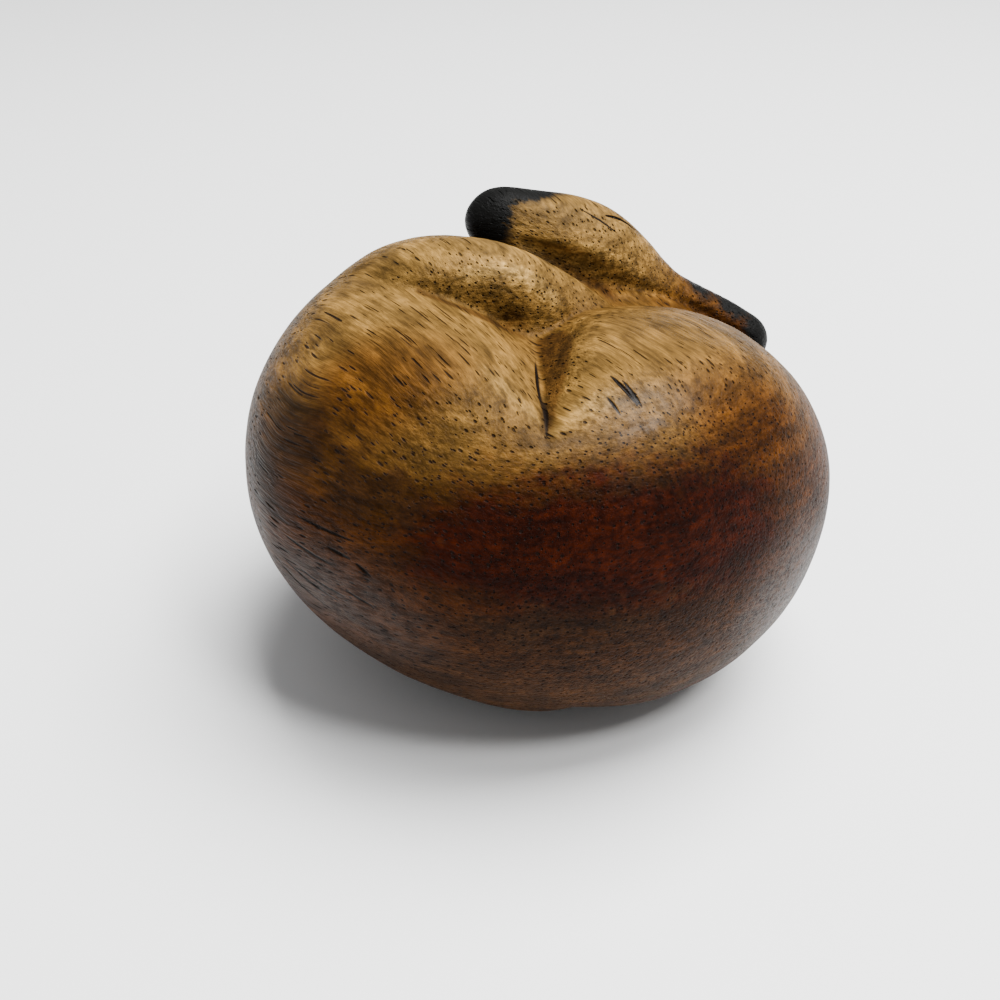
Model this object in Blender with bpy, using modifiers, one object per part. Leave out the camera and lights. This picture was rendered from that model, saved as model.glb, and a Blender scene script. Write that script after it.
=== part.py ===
"""A sleeping cat curled into a ball, carved from one block of hardwood.

The figure is modelled the way a carver works. Rough balls and limbs are joined and trimmed to a block,
the block is remeshed, and its surface is then settled onto the smooth carved form. The cat lies on
a flat underside at z = 0, with its back towards -Y and its face turned up and away towards +Y.
"""
import math

import bmesh
import bpy
import numpy as np
from mathutils import Matrix

# Driving dimensions, in metres
WIDTH = 0.078
ROUGH_VOXEL = 0.0016
FINE_VOXEL = 0.0011
TRIANGLES = 9200

# The figure's forms are written as shares of its width, about a millimetre each at this size
SHARE = WIDTH / 78.3
# The forms are laid out around the ball's middle, and the origin is under the middle of the outline
MIDDLE = (-0.57, 2.04, 0.0)

# Outer ball that trims the body: centre and half sizes
BLOCK_LEFT = ((-5.6, 2.8, 29.3), (34.1, 38.1, 28.4))
BLOCK_RIGHT = ((7.6, 3.9, 28.3), (33.0, 37.6, 34.0))
BLOCK_BLEND = 12.0
# Back and haunch, with the angles they are turned by
BACK = ((-19.3, -6.8, 25.7), (27.0, 61.9, 28.0), (0.0, 0.0, 18.6))
HAUNCH = ((13.9, -11.8, 27.2), (25.4, 42.5, 24.9), (-6.8, 0.0, -4.4))
# Smooth rump where the crease between back and haunch runs out
RUMP = ((2.5, -37.0, 30.0), (33.0, 12.0, 26.0))
# Belly below, and belly and chest on the far side
BASE = ((0.0, -3.0, 22.0), (31.0, 31.0, 24.0))
BELLY = ((1.0, 7.0, 19.5), (36.0, 32.0, 21.0))
CHEST = ((13.0, 22.0, 33.5), (21.0, 11.5, 11.0), (0.0, 20.0, 0.0))
# Limbs: each row is a point along the middle and the radius there
SHOULDER = [(-36.8, 1.6, 34.3, 10.0), (-24.3, 15.3, 41.9, 11.5), (-10.6, 7.5, 46.2, 11.0),
            (-0.5, 11.7, 42.7, 9.0), (8.7, 10.0, 38.7, 7.0)]
FORELEG = [(-24.0, 22.0, 21.0, 9.0), (-13.0, 31.0, 26.0, 7.4), (-1.0, 34.0, 30.5, 6.2),
           (8.0, 34.0, 32.0, 5.8), (14.5, 33.0, 30.5, 6.4)]
TAIL = [(25.0, 12.0, 13.0, 8.0), (23.5, 24.0, 10.5, 7.2), (9.0, 33.0, 8.5, 6.6),
        (-9.0, 33.5, 8.0, 6.0), (-22.0, 26.0, 9.0, 5.4), (-28.5, 16.0, 11.5, 4.6)]
# Head: the line from ear to ear, and the way the face looks
HEAD_MIDDLE = (6.2, 28.1, 45.6)
HEAD_SIZE = (12.6, 9.8, 9.5)
EAR_LINE = (0.893, -0.045, -0.449)
FACE_LOOKS = (0.33, 0.75, 0.57)
RIGHT_EAR = [(15.6, 27.1, 40.3, 5.9), (25.8, 26.5, 37.9, 3.8), (31.1, 25.9, 34.7, 3.5)]
LEFT_EAR = [(1.4, 27.5, 48.8, 5.7), (-3.7, 27.6, 52.2, 5.1), (-6.1, 27.1, 52.8, 3.7)]
# Far edges of the ears, which make them broad
RIGHT_EAR_EDGE = [(13.0, 34.0, 42.0, 4.5), (23.0, 31.0, 38.0, 3.5), (30.6, 26.6, 34.9, 3.2)]
LEFT_EAR_EDGE = [(3.0, 34.0, 46.5, 4.5), (-2.5, 31.5, 49.5, 4.0), (-5.7, 28.0, 52.2, 3.4)]
# Muzzle and nose, placed on the head along its ear line, its crown and its face
MUZZLE = ((0.0, -5.5, 5.0), (7.0, 5.0, 5.6))
NOSE = ((0.0, -3.6, 9.4), (2.4, 1.9, 1.6))
# Gouged hollows and walls: each row is a point that stays on the cut's edge and the gouge's radius there
SHOULDER_RIDGE = [(-30.0, -6.0, 54.0, 20.0), (-20.0, -2.0, 56.5, 20.0), (-9.9, 1.4, 56.0, 20.0),
                  (-2.0, 2.0, 53.4, 20.0), (3.5, 3.5, 49.6, 20.0), (10.0, 4.0, 45.0, 20.0)]
SHOULDER_CUT = (0.20, -0.96, 0.18)
# Full edge of the haunch over the crease, and the flat wall that is cut below it
HAUNCH_LOBE = [(8.8, 4.0, 35.2, 12.0), (8.5, -6.0, 38.2, 12.0), (8.0, -14.0, 39.4, 12.0),
               (7.5, -20.0, 38.6, 12.0)]
HAUNCH_WALL = [(4.0, 6.0, 48.4, 30.0), (2.6, -5.0, 49.5, 30.0), (1.9, -13.0, 49.6, 30.0),
               (1.1, -20.0, 49.8, 30.0), (0.0, -24.5, 49.7, 30.0), (-1.4, -28.0, 50.4, 30.0)]
HAUNCH_WALL_CUT = (-0.69, -0.05, 0.72)
# Wall of the shoulder over the back
SHOULDER_WALL = [(-27.0, 4.5, 53.6, 4.0), (-18.0, 0.7, 54.6, 5.0), (-11.0, 0.1, 53.4, 5.0),
                 (-5.0, 1.0, 51.0, 5.0), (-1.0, 1.4, 48.6, 5.0), (3.0, 2.6, 46.4, 4.0)]
SHOULDER_WALL_CUT = (-0.08, -0.94, -0.33)
HEAD_RIDGE = [(-2.0, 21.6, 52.0, 0.6), (2.2, 20.7, 51.2, 2.4), (6.7, 20.0, 50.3, 4.5), (10.4, 20.0, 49.1, 6.0),
              (14.4, 21.0, 46.5, 6.4), (20.5, 23.0, 42.7, 6.0), (25.0, 23.2, 40.3, 5.0),
              (32.0, 22.5, 35.5, 3.0)]
HEAD_CUT = (0.19, -0.89, -0.41)

# Fillets between forms, and rounding of cut edges
LOBE_BLEND = 3.0
WALL_EDGE = 2.0
CREASE_BLEND = 1.0
FOLD_BLEND = 1.2
RUMP_BLEND = 2.0
BASE_BLEND = 3.0
BLOCK_EDGE = 4.0
CHEST_BLEND = 6.0
BELLY_EDGE = 2.0
BELLY_BLEND = 3.0
EAR_BLEND = 3.0
RIGHT_EAR_ROOT = 5.0
LEFT_EAR_ROOT = 4.0
NOSE_BLEND = 1.5
MUZZLE_BLEND = 3.5
HEAD_EDGE = 1.2
NECK_BLEND = 1.5
LIMB_BLEND = 1.8

# Settling of the rough mesh: softening passes, rounds, the last rounds with no evening, and its strength
SOFTENING = 5
ROUNDS = 8
LAST_ROUNDS = 3
EVENING = 0.4
SOFTENING_PULL = 0.5
SLOPE_STEP = 0.1
LEAST_SQUARED_SLOPE = 0.25

WOOD_COLOUR = (0.30, 0.135, 0.035, 1.0)
WOOD_ROUGHNESS = 0.42


def turned(degrees):
    """Rotation matrix for angles about x, then y, then z."""
    a, b, c = (math.radians(value) for value in degrees)
    about_x = Matrix.Rotation(a, 3, 'X')
    about_y = Matrix.Rotation(b, 3, 'Y')
    about_z = Matrix.Rotation(c, 3, 'Z')
    return np.array(about_z @ about_y @ about_x)


def head_axes():
    """Columns: ear to ear, crown, face."""
    ears = np.array(EAR_LINE) / np.linalg.norm(EAR_LINE)
    face = np.array(FACE_LOOKS) - (np.array(FACE_LOOKS) @ ears) * ears
    face /= np.linalg.norm(face)
    return np.stack([ears, np.cross(ears, face), face], axis=1)


HEAD_AXES = head_axes()


def on_head(place):
    """A place on the head in the figure's own shares."""
    return np.array(HEAD_MIDDLE) + HEAD_AXES @ np.array(place)


def ball(points, centre, half_sizes, axes=None):
    """Distance from an ellipsoid, negative inside."""
    local = points - (np.array(centre) - MIDDLE) * SHARE
    if axes is not None:
        local = local @ axes
    radii = np.array(half_sizes) * SHARE
    reach = np.sqrt(((local / radii) ** 2).sum(-1))
    slope = np.sqrt(((local / radii ** 2) ** 2).sum(-1))
    return reach * (reach - 1.0) / np.maximum(slope, 1e-6)


def join(first, second, blend):
    """Both forms together, with a fillet of the given size between them."""
    width = blend * SHARE
    mix = np.clip(0.5 + 0.5 * (second - first) / width, 0.0, 1.0)
    return second * (1.0 - mix) + first * mix - width * mix * (1.0 - mix)


def trim(form, limit, blend):
    """The form kept inside the limit, with a rounded edge."""
    return -join(-form, -limit, blend)


def smooth_path(rows, steps):
    """Points and radii on a smooth curve through the rows."""
    knots = np.array(rows)
    knots = np.vstack([2 * knots[0] - knots[1], knots, 2 * knots[-1] - knots[-2]])
    path = []
    for i in range(1, len(knots) - 2):
        before, start, end, after = knots[i - 1:i + 3]
        for t in np.linspace(0.0, 1.0, steps, endpoint=False):
            curve = 2 * start + (end - before) * t
            curve = curve + (2 * before - 5 * start + 4 * end - after) * t ** 2
            curve = curve + (3 * start - before - 3 * end + after) * t ** 3
            path.append(0.5 * curve)
    path.append(knots[-2])
    return np.array(path)


def limb(points, rows, steps=6):
    """Distance from a tapered limb along a smooth path."""
    path = smooth_path(rows, steps)
    path[:, :3] -= MIDDLE
    path *= SHARE
    nearest = np.full(len(points), 1.0)
    for start, end in zip(path[:-1], path[1:]):
        run = end[:3] - start[:3]
        t = np.clip(((points - start[:3]) @ run) / (run @ run), 0.0, 1.0)
        distance = np.linalg.norm(points - start[:3] - t[:, None] * run, axis=1)
        nearest = np.minimum(nearest, distance - (start[3] + t * (end[3] - start[3])))
    return nearest


def gouge(points, ridge, cut):
    """A round gouge beside a ridge line, on the side that the cut faces."""
    rows = [tuple(np.array(row[:3]) + np.array(cut) * row[3]) + (row[3],) for row in ridge]
    return limb(points, rows, steps=4)


def block(points):
    return join(ball(points, *BLOCK_LEFT), ball(points, *BLOCK_RIGHT), BLOCK_BLEND)


def carved_body(points):
    """Back, haunch, shoulder and belly, trimmed to the block."""
    back = ball(points, BACK[0], BACK[1], turned(BACK[2]))
    haunch = ball(points, HAUNCH[0], HAUNCH[1], turned(HAUNCH[2]))
    haunch = join(haunch, limb(points, HAUNCH_LOBE), LOBE_BLEND)
    haunch = trim(haunch, -gouge(points, HAUNCH_WALL, HAUNCH_WALL_CUT), WALL_EDGE)
    shoulder = trim(limb(points, SHOULDER, 8), -gouge(points, SHOULDER_RIDGE, SHOULDER_CUT), WALL_EDGE)
    shoulder = trim(shoulder, -gouge(points, SHOULDER_WALL, SHOULDER_WALL_CUT), WALL_EDGE)
    body = join(join(back, shoulder, FOLD_BLEND), haunch, CREASE_BLEND)
    body = join(body, ball(points, *RUMP), RUMP_BLEND)
    body = join(body, ball(points, *BASE), BASE_BLEND)
    body = trim(body, block(points), BLOCK_EDGE)
    belly = join(ball(points, *BELLY), ball(points, CHEST[0], CHEST[1], turned(CHEST[2])), CHEST_BLEND)
    return join(body, trim(belly, block(points), BELLY_EDGE), BELLY_BLEND)


def carved_head(points):
    """Skull, ears, muzzle and nose, with the hollow under the head's lower edge."""
    skull = ball(points, HEAD_MIDDLE, HEAD_SIZE, HEAD_AXES)
    right_ear = join(limb(points, RIGHT_EAR), limb(points, RIGHT_EAR_EDGE), EAR_BLEND)
    left_ear = join(limb(points, LEFT_EAR), limb(points, LEFT_EAR_EDGE), EAR_BLEND)
    head = join(join(skull, right_ear, RIGHT_EAR_ROOT), left_ear, LEFT_EAR_ROOT)
    snout = join(ball(points, on_head(MUZZLE[0]), MUZZLE[1], HEAD_AXES),
                 ball(points, on_head(NOSE[0]), NOSE[1], HEAD_AXES), NOSE_BLEND)
    head = join(head, snout, MUZZLE_BLEND)
    return trim(head, -gouge(points, HEAD_RIDGE, HEAD_CUT), HEAD_EDGE)


def carved(points):
    """Distance from the carved surface, negative in the wood."""
    figure = join(carved_body(points), carved_head(points), NECK_BLEND)
    figure = join(figure, limb(points, FORELEG), LIMB_BLEND)
    return join(figure, limb(points, TAIL), LIMB_BLEND)


def rough_ball(centre, half_sizes, axes=None):
    """A sphere primitive stretched to an ellipsoid."""
    bpy.ops.mesh.primitive_uv_sphere_add(segments=48, ring_count=24, radius=1.0)
    lump = bpy.context.object
    turn = Matrix.Identity(3) if axes is None else Matrix(np.array(axes).tolist())
    size = Matrix.Diagonal([value * SHARE for value in half_sizes])
    lump.matrix_world = Matrix.Translation((np.array(centre) - MIDDLE) * SHARE) @ (turn @ size).to_4x4()
    return lump


def rough_limb(rows):
    """Small balls in a row along a limb."""
    lumps = []
    for x, y, z, radius in smooth_path(rows, 5):
        lumps.append(rough_ball((x, y, z), (radius, radius, radius)))
    return lumps


def evaluated_mesh(item):
    """The mesh that an object's modifiers give, in world space."""
    mesh = bpy.data.meshes.new_from_object(item.evaluated_get(bpy.context.evaluated_depsgraph_get()))
    mesh.transform(item.matrix_world)
    return mesh


def fused(lumps, name, voxel):
    """Joins lumps into one mesh and remeshes them into one body."""
    shape = bmesh.new()
    for lump in lumps:
        mesh = evaluated_mesh(lump)
        shape.from_mesh(mesh)
        bpy.data.meshes.remove(mesh)
        bpy.data.objects.remove(lump)
    mesh = bpy.data.meshes.new(name)
    shape.to_mesh(mesh)
    shape.free()
    item = bpy.data.objects.new(name, mesh)
    bpy.context.scene.collection.objects.link(item)
    remesh = item.modifiers.new("one body", 'REMESH')
    remesh.mode = 'VOXEL'
    remesh.voxel_size = voxel
    return item


def applied(item):
    """Replaces an object's mesh with what its modifiers give."""
    bpy.context.view_layer.update()
    mesh = evaluated_mesh(item)
    item.modifiers.clear()
    item.data = mesh
    item.matrix_world = Matrix.Identity(4)
    return item


def rough_figure():
    """The figure roughed out from joined and trimmed lumps."""
    trimmed = [rough_ball(BACK[0], BACK[1], turned(BACK[2])),
               rough_ball(HAUNCH[0], HAUNCH[1], turned(HAUNCH[2])),
               rough_ball(*RUMP), rough_ball(*BASE), rough_ball(*BELLY),
               rough_ball(CHEST[0], CHEST[1], turned(CHEST[2]))]
    body = applied(fused(trimmed + rough_limb(SHOULDER), "rough body", ROUGH_VOXEL))
    outer = applied(fused([rough_ball(*BLOCK_LEFT), rough_ball(*BLOCK_RIGHT)], "block", ROUGH_VOXEL))
    cut = body.modifiers.new("trim to block", 'BOOLEAN')
    cut.operation = 'INTERSECT'
    cut.object = outer
    applied(body)
    bpy.data.objects.remove(outer)
    lumps = [body, rough_ball(HEAD_MIDDLE, HEAD_SIZE, HEAD_AXES),
             rough_ball(on_head(MUZZLE[0]), MUZZLE[1], HEAD_AXES),
             rough_ball(on_head(NOSE[0]), NOSE[1], HEAD_AXES)]
    for rows in (RIGHT_EAR, RIGHT_EAR_EDGE, LEFT_EAR, LEFT_EAR_EDGE, FORELEG, TAIL):
        lumps += rough_limb(rows)
    return applied(fused(lumps, "rough figure", FINE_VOXEL))


def slope_of(points, step):
    """Gradient of the carved form's distance."""
    parts = []
    for axis in np.eye(3) * step:
        parts.append((carved(points + axis) - carved(points - axis)) / (2 * step))
    return np.stack(parts, axis=1)


def neighbours_mean(places, first, second, degree):
    """Mean place of each vertex's neighbours."""
    mean = np.empty_like(places)
    for axis in range(3):
        total = np.bincount(first, places[second, axis], len(places))
        total += np.bincount(second, places[first, axis], len(places))
        mean[:, axis] = total / degree
    return mean


def settle(mesh):
    """Softens the rough mesh, then settles it onto the carved surface with evenly spaced vertices."""
    count = len(mesh.vertices)
    places = np.empty(count * 3)
    mesh.vertices.foreach_get("co", places)
    places = places.reshape(-1, 3)
    ends = np.empty(len(mesh.edges) * 2, dtype=np.int64)
    mesh.edges.foreach_get("vertices", ends)
    first, second = ends.reshape(-1, 2).T
    degree = np.bincount(first, minlength=count) + np.bincount(second, minlength=count)
    for _ in range(SOFTENING):
        places += SOFTENING_PULL * (neighbours_mean(places, first, second, degree) - places)
    for turn in range(ROUNDS):
        slope = slope_of(places, SLOPE_STEP * SHARE)
        square = np.maximum((slope ** 2).sum(1), LEAST_SQUARED_SLOPE)
        places -= (carved(places) / square)[:, None] * slope
        if turn < ROUNDS - LAST_ROUNDS:
            drift = neighbours_mean(places, first, second, degree) - places
            normal = slope / np.sqrt(square)[:, None]
            drift -= (drift * normal).sum(1)[:, None] * normal
            places += EVENING * drift
    mesh.vertices.foreach_set("co", places.ravel())
    mesh.update()


def thinned(item, triangles):
    """Collapses the mesh to about the given number of triangles."""
    item.data.calc_loop_triangles()
    fewer = item.modifiers.new("thin out", 'DECIMATE')
    fewer.ratio = triangles / len(item.data.loop_triangles)
    fewer.use_collapse_triangulate = True
    return applied(item)


def flattened(mesh):
    """Cuts the underside flat at z = 0 and closes it with one face."""
    shape = bmesh.new()
    shape.from_mesh(mesh)
    geometry = shape.verts[:] + shape.edges[:] + shape.faces[:]
    bmesh.ops.bisect_plane(shape, geom=geometry, plane_co=(0, 0, 0), plane_no=(0, 0, 1),
                           clear_inner=True, dist=1e-6)
    rim = [edge for edge in shape.edges if edge.is_boundary]
    bmesh.ops.holes_fill(shape, edges=rim, sides=0)
    bmesh.ops.triangulate(shape, faces=shape.faces[:])
    bmesh.ops.recalc_face_normals(shape, faces=shape.faces[:])
    shape.to_mesh(mesh)
    shape.free()


def wood():
    material = bpy.data.materials.new("oiled hardwood")
    material.use_nodes = True
    surface = material.node_tree.nodes["Principled BSDF"]
    surface.inputs["Base Color"].default_value = WOOD_COLOUR
    surface.inputs["Roughness"].default_value = WOOD_ROUGHNESS
    surface.inputs["Metallic"].default_value = 0.0
    return material


def carve_cat():
    for item in list(bpy.data.objects):
        bpy.data.objects.remove(item)
    figure = rough_figure()
    settle(figure.data)
    thinned(figure, TRIANGLES)
    flattened(figure.data)
    figure.name = "carved_cat"
    figure.data.name = "carved_cat"
    figure.data.shade_smooth()
    figure.data.materials.clear()
    figure.data.materials.append(wood())
    group = bpy.data.collections.new("wooden cat figure")
    bpy.context.scene.collection.children.link(group)
    bpy.context.scene.collection.objects.unlink(figure)
    group.objects.link(figure)
    return figure


carve_cat()
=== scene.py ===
"""Looks of the sleeping cat: one block of oiled tropical hardwood with burnt ear tips.

The carved solid is dressed with a fine mesh of the same form. Its vertices are settled onto the
carved surface, with closed eyes, a mouth, drying cracks and the slight unevenness of hand carving
added. The wood is a solid procedural material, so fibres, pores and growth layers run through
every form.
"""
import math

import bmesh
import bpy
import numpy as np
from mathutils import Matrix, Vector, noise


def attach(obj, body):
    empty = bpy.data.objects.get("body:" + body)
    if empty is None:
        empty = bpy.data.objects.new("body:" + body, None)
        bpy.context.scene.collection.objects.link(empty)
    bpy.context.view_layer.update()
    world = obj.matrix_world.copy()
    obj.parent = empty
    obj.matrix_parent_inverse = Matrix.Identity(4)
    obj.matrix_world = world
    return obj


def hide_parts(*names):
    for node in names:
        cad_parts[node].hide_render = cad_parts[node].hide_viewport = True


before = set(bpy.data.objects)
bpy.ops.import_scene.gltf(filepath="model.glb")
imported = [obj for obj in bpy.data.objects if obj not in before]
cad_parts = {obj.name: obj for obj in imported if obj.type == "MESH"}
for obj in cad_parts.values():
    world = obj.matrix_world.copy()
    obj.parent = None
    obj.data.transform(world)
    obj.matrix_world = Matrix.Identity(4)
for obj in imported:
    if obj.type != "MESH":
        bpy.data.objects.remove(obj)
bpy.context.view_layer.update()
NODE = "carved_cat"
# Driving dimension in metres, as in the part's source
WIDTH = 0.078

# The figure's forms and the wood's patterns are written as shares of its width, about a
# millimetre each at this size
SHARE = WIDTH / 78.3
# The forms are laid out around the ball's middle, and the origin is under the middle of the outline
MIDDLE = (-0.57, 2.04, 0.0)

# Outer ball that trims the body: centre and half sizes
BLOCK_LEFT = ((-5.6, 2.8, 29.3), (34.1, 38.1, 28.4))
BLOCK_RIGHT = ((7.6, 3.9, 28.3), (33.0, 37.6, 34.0))
BLOCK_BLEND = 12.0
# Back and haunch, with the angles they are turned by
BACK = ((-19.3, -6.8, 25.7), (27.0, 61.9, 28.0), (0.0, 0.0, 18.6))
HAUNCH = ((13.9, -11.8, 27.2), (25.4, 42.5, 24.9), (-6.8, 0.0, -4.4))
# Smooth rump where the crease between back and haunch runs out
RUMP = ((2.5, -37.0, 30.0), (33.0, 12.0, 26.0))
# Belly below, and belly and chest on the far side
BASE = ((0.0, -3.0, 22.0), (31.0, 31.0, 24.0))
BELLY = ((1.0, 7.0, 19.5), (36.0, 32.0, 21.0))
CHEST = ((13.0, 22.0, 33.5), (21.0, 11.5, 11.0), (0.0, 20.0, 0.0))
# Limbs: each row is a point along the middle and the radius there
SHOULDER = [(-36.8, 1.6, 34.3, 10.0), (-24.3, 15.3, 41.9, 11.5), (-10.6, 7.5, 46.2, 11.0),
            (-0.5, 11.7, 42.7, 9.0), (8.7, 10.0, 38.7, 7.0)]
FORELEG = [(-24.0, 22.0, 21.0, 9.0), (-13.0, 31.0, 26.0, 7.4), (-1.0, 34.0, 30.5, 6.2),
           (8.0, 34.0, 32.0, 5.8), (14.5, 33.0, 30.5, 6.4)]
TAIL = [(25.0, 12.0, 13.0, 8.0), (23.5, 24.0, 10.5, 7.2), (9.0, 33.0, 8.5, 6.6),
        (-9.0, 33.5, 8.0, 6.0), (-22.0, 26.0, 9.0, 5.4), (-28.5, 16.0, 11.5, 4.6)]
# Head: the line from ear to ear, and the way the face looks
HEAD_MIDDLE = (6.2, 28.1, 45.6)
HEAD_SIZE = (12.6, 9.8, 9.5)
EAR_LINE = (0.893, -0.045, -0.449)
FACE_LOOKS = (0.33, 0.75, 0.57)
RIGHT_EAR = [(15.6, 27.1, 40.3, 5.9), (25.8, 26.5, 37.9, 3.8), (31.1, 25.9, 34.7, 3.5)]
LEFT_EAR = [(1.4, 27.5, 48.8, 5.7), (-3.7, 27.6, 52.2, 5.1), (-6.1, 27.1, 52.8, 3.7)]
# Far edges of the ears, which make them broad
RIGHT_EAR_EDGE = [(13.0, 34.0, 42.0, 4.5), (23.0, 31.0, 38.0, 3.5), (30.6, 26.6, 34.9, 3.2)]
LEFT_EAR_EDGE = [(3.0, 34.0, 46.5, 4.5), (-2.5, 31.5, 49.5, 4.0), (-5.7, 28.0, 52.2, 3.4)]
# Muzzle and nose, placed on the head along its ear line, its crown and its face
MUZZLE = ((0.0, -5.5, 5.0), (7.0, 5.0, 5.6))
NOSE = ((0.0, -3.6, 9.4), (2.4, 1.9, 1.6))
# Gouged hollows and walls: each row is a point that stays on the cut's edge and the gouge's radius there
SHOULDER_RIDGE = [(-30.0, -6.0, 54.0, 20.0), (-20.0, -2.0, 56.5, 20.0), (-9.9, 1.4, 56.0, 20.0),
                  (-2.0, 2.0, 53.4, 20.0), (3.5, 3.5, 49.6, 20.0), (10.0, 4.0, 45.0, 20.0)]
SHOULDER_CUT = (0.20, -0.96, 0.18)
# Full edge of the haunch over the crease, and the flat wall that is cut below it
HAUNCH_LOBE = [(8.8, 4.0, 35.2, 12.0), (8.5, -6.0, 38.2, 12.0), (8.0, -14.0, 39.4, 12.0),
               (7.5, -20.0, 38.6, 12.0)]
HAUNCH_WALL = [(4.0, 6.0, 48.4, 30.0), (2.6, -5.0, 49.5, 30.0), (1.9, -13.0, 49.6, 30.0),
               (1.1, -20.0, 49.8, 30.0), (0.0, -24.5, 49.7, 30.0), (-1.4, -28.0, 50.4, 30.0)]
HAUNCH_WALL_CUT = (-0.69, -0.05, 0.72)
# Wall of the shoulder over the back
SHOULDER_WALL = [(-27.0, 4.5, 53.6, 4.0), (-18.0, 0.7, 54.6, 5.0), (-11.0, 0.1, 53.4, 5.0),
                 (-5.0, 1.0, 51.0, 5.0), (-1.0, 1.4, 48.6, 5.0), (3.0, 2.6, 46.4, 4.0)]
SHOULDER_WALL_CUT = (-0.08, -0.94, -0.33)
# Hollow under the lower edge of the head
HEAD_RIDGE = [(-2.0, 21.6, 52.0, 0.6), (2.2, 20.7, 51.2, 2.4), (6.7, 20.0, 50.3, 4.5),
              (10.4, 20.0, 49.1, 6.0), (14.4, 21.0, 46.5, 6.4), (20.5, 23.0, 42.7, 6.0),
              (25.0, 23.2, 40.3, 5.0), (32.0, 22.5, 35.5, 3.0)]
HEAD_CUT = (0.19, -0.89, -0.41)

# Fillets between forms, and rounding of cut edges
LOBE_BLEND = 3.0
WALL_EDGE = 2.0
CREASE_BLEND = 0.35
FOLD_BLEND = 0.5
RUMP_BLEND = 2.0
BASE_BLEND = 3.0
BLOCK_EDGE = 4.0
CHEST_BLEND = 6.0
BELLY_EDGE = 2.0
BELLY_BLEND = 3.0
EAR_BLEND = 3.0
RIGHT_EAR_ROOT = 5.0
LEFT_EAR_ROOT = 4.0
NOSE_BLEND = 1.0
MUZZLE_BLEND = 3.5
HEAD_EDGE = 0.8
NECK_BLEND = 0.7
LIMB_BLEND = 1.4

# Fine mesh: size of its first faces in metres, and turns of halving them in folds and at fine cuts
FINE_VOXEL = 0.00059
HALVINGS = 2
# A vertex lies in a fold where its neighbours' mean normal is this far from its own
FOLDED = 0.13
# Distance from a fine cut within which faces are halved
NEAR_CUT = 1.0
# Settling onto the carved surface: rounds of softening and their pull, rounds of settling, the last of
# them that don't even out the spacing, and the share of the way to the neighbours that evening goes
SOFTENING = 4
SOFTENING_PULL = 0.5
ROUNDS = 4
LAST_ROUNDS = 1
EVENING = 0.4
# Rounds that lay a drawn line on the surface
LAYING_ROUNDS = 4
# Step that a form's slope is measured over, and the least squared slope that is divided by
SLOPE_STEP = 0.04
LEAST_SQUARED_SLOPE = 0.25
# Distance from a limb beyond which its distance needn't be exact
FAR = 8.0

# Knife line in the crease between back and haunch: rows along its bottom with its radius
KNIFE_LINE = [(-0.5, -5.0, 47.2, 0.10), (-0.6, -13.5, 47.9, 0.20), (-0.4, -18.3, 48.4, 0.22),
              (0.1, -24.2, 48.4, 0.20), (0.2, -28.0, 47.6, 0.08)]
# Shallow cuts on the head, laid on its surface: the slit on the crown, closed eyes, the nose's lower
# edge and the mouth, in rows of ear line, crown, face and radius
CROWN_SLIT = [(-0.2, 8.6, 4.2, 0.15), (2.2, 7.9, 5.4, 0.32), (4.8, 7.2, 5.6, 0.15)]
RIGHT_EYE = [(2.4, 2.6, 9.0, 0.15), (3.8, 1.2, 9.0, 0.32), (5.8, 0.9, 8.4, 0.32), (7.6, 2.2, 7.2, 0.15)]
LEFT_EYE = [(-2.4, 2.6, 9.0, 0.15), (-3.8, 1.2, 9.0, 0.32), (-5.8, 0.9, 8.4, 0.32), (-7.6, 2.2, 7.2, 0.15)]
NOSE_LINE = [(-1.9, -3.4, 10.0, 0.12), (-1.2, -4.6, 10.4, 0.26), (0.0, -5.0, 10.8, 0.28),
             (1.2, -4.6, 10.4, 0.26), (1.9, -3.4, 10.0, 0.12)]
MOUTH = [(-3.8, -7.8, 8.4, 0.12), (-2.1, -8.4, 8.8, 0.26), (0.0, -7.5, 10.0, 0.28),
         (2.1, -8.4, 8.8, 0.26), (3.8, -7.8, 8.4, 0.12)]
# Drying cracks along the fibres: start and end on the surface, and half width at the middle
CRACKS = [((7.6, -21.5, 51.8), (10.4, -25.7, 50.2), 0.19),
          ((8.9, -22.4, 51.6), (10.9, -25.9, 50.0), 0.14),
          ((7.0, -24.7, 50.7), (8.4, -26.9, 49.6), 0.12),
          ((-29.3, -23.8, 34.3), (-22.0, -29.9, 34.6), 0.12),
          ((-30.9, -22.6, 30.6), (-24.9, -28.6, 30.5), 0.14),
          ((-25.4, -28.0, 32.6), (-22.5, -30.1, 32.3), 0.18),
          ((-21.8, -30.7, 32.0), (-20.1, -31.8, 31.0), 0.17),
          ((-31.5, -21.7, 26.4), (-24.5, -28.5, 25.3), 0.14),
          ((-29.3, -24.4, 27.0), (-23.6, -29.4, 26.5), 0.12),
          ((-23.3, -29.8, 27.6), (-20.1, -31.7, 26.7), 0.13),
          ((-33.6, -18.2, 25.0), (-25.5, -26.9, 22.9), 0.12),
          ((6.3, 25.0, 55.3), (11.5, 23.3, 52.4), 0.12)]
# Points along a crack, and the share of a half turn of sine at which its width starts and ends
CRACK_POINTS = 5
CRACK_TIP = 0.08
# Rounded edges of the fine cuts and of the underside, and reach of the painted shade beside a cut
CUT_EDGE = 0.12
UNDERSIDE_EDGE = 0.5
CUT_SHADE_REACH = 0.15
# Hand carving: sizes of the broad swells and small ripples, their heights, the wear of the whole, and
# the height above the underside where they reach full strength
SWELL_SIZE = 9.0
RIPPLE_SIZE = 3.2
SWELL = 0.16
RIPPLE = 0.035
WEAR = 0.06
CARVED_FROM = 4.0
# Painted shade in hollows: how far in front of the surface wood counts as near, broadly and closely, and
# the strength of the broad ones
BROAD_REACH = 2.4
CLOSE_REACH = 0.8
BROAD_STRENGTH = 0.8

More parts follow.
